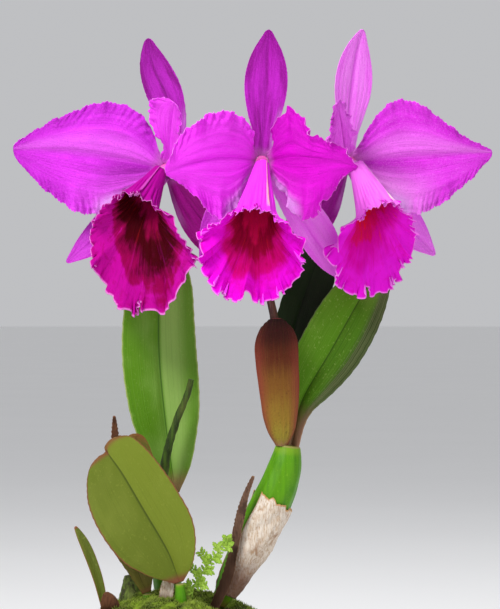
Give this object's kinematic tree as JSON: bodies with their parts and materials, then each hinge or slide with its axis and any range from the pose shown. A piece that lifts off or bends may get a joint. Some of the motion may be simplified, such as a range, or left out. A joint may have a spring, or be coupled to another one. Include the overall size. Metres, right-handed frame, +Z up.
{
  "type": "potted cattleya orchid in flower",
  "caption": "Cattleya orchid in flower: frilled magenta blooms on one stem over strap leaves and pseudobulbs, growing in moss in a plain round clay pot.",
  "frame": {"origin": "middle of the pot's underside, on the surface that the pot stands on", "axes": "+Z up along the pot axis, -Y towards the side that the blooms face, +X to the right of a viewer there"},
  "size_m": [0.2662, 0.1406, 0.4237],
  "materials": {
    "petal": "satin, velvety",
    "sepal": "satin",
    "lip": "velvety",
    "column": "waxy",
    "flower_stalk": "waxy",
    "flower_stem": "waxy",
    "spathe": "satin",
    "leaf": "satin, waxy",
    "dark_leaf": "satin, waxy",
    "olive_leaf": "satin, waxy",
    "pseudobulb": "satin, waxy",
    "mossy_bulb": "matt",
    "papery_bract": "matt",
    "dry_brown": "matt",
    "rhizome": "matt",
    "moss": "matt",
    "weed": "matt",
    "bark": "matt",
    "clay": "matt, unglazed"
  },
  "bodies": {
    "root": {"left_bloom_dorsal_sepal": "sepal", "left_bloom_sepal_left": "sepal", "left_bloom_sepal_right": "sepal", "left_bloom_petal_left": "petal", "left_bloom_petal_right": "petal", "left_bloom_lip": "lip", "left_bloom_column": "column", "left_bloom_stalk": "flower_stalk", "middle_bloom_dorsal_sepal": "sepal", "middle_bloom_sepal_left": "sepal", "middle_bloom_sepal_right": "sepal", "middle_bloom_petal_left": "petal", "middle_bloom_petal_right": "petal", "middle_bloom_lip": "lip", "middle_bloom_column": "column", "middle_bloom_stalk": "flower_stalk", "right_bloom_dorsal_sepal": "sepal", "right_bloom_sepal_left": "sepal", "right_bloom_sepal_right": "sepal", "right_bloom_petal_left": "petal", "right_bloom_petal_right": "petal", "right_bloom_lip": "lip", "right_bloom_column": "column", "right_bloom_stalk": "flower_stalk", "flower_stem": "flower_stem", "spathe": "spathe", "left_leaf": "leaf", "right_leaf": "leaf", "back_leaf": "dark_leaf", "front_leaf": "olive_leaf", "second_leaf": "olive_leaf", "dry_sheath_strip": "dry_brown", "brown_leaf_tip": "dry_brown", "young_leaf": "leaf", "brown_scale": "dry_brown", "left_papery_bract": "papery_bract", "right_pseudobulb": "pseudobulb", "left_pseudobulb": "pseudobulb", "front_pseudobulb": "pseudobulb", "second_pseudobulb": "pseudobulb", "mossy_pseudobulb": "mossy_bulb", "papery_sheath": "papery_bract", "old_flower_stem": "dark_leaf", "rhizome": "rhizome", "moss": "moss", "weed": "weed", "growing_medium": "bark", "pot": "clay"}
  },
  "joints": []
}
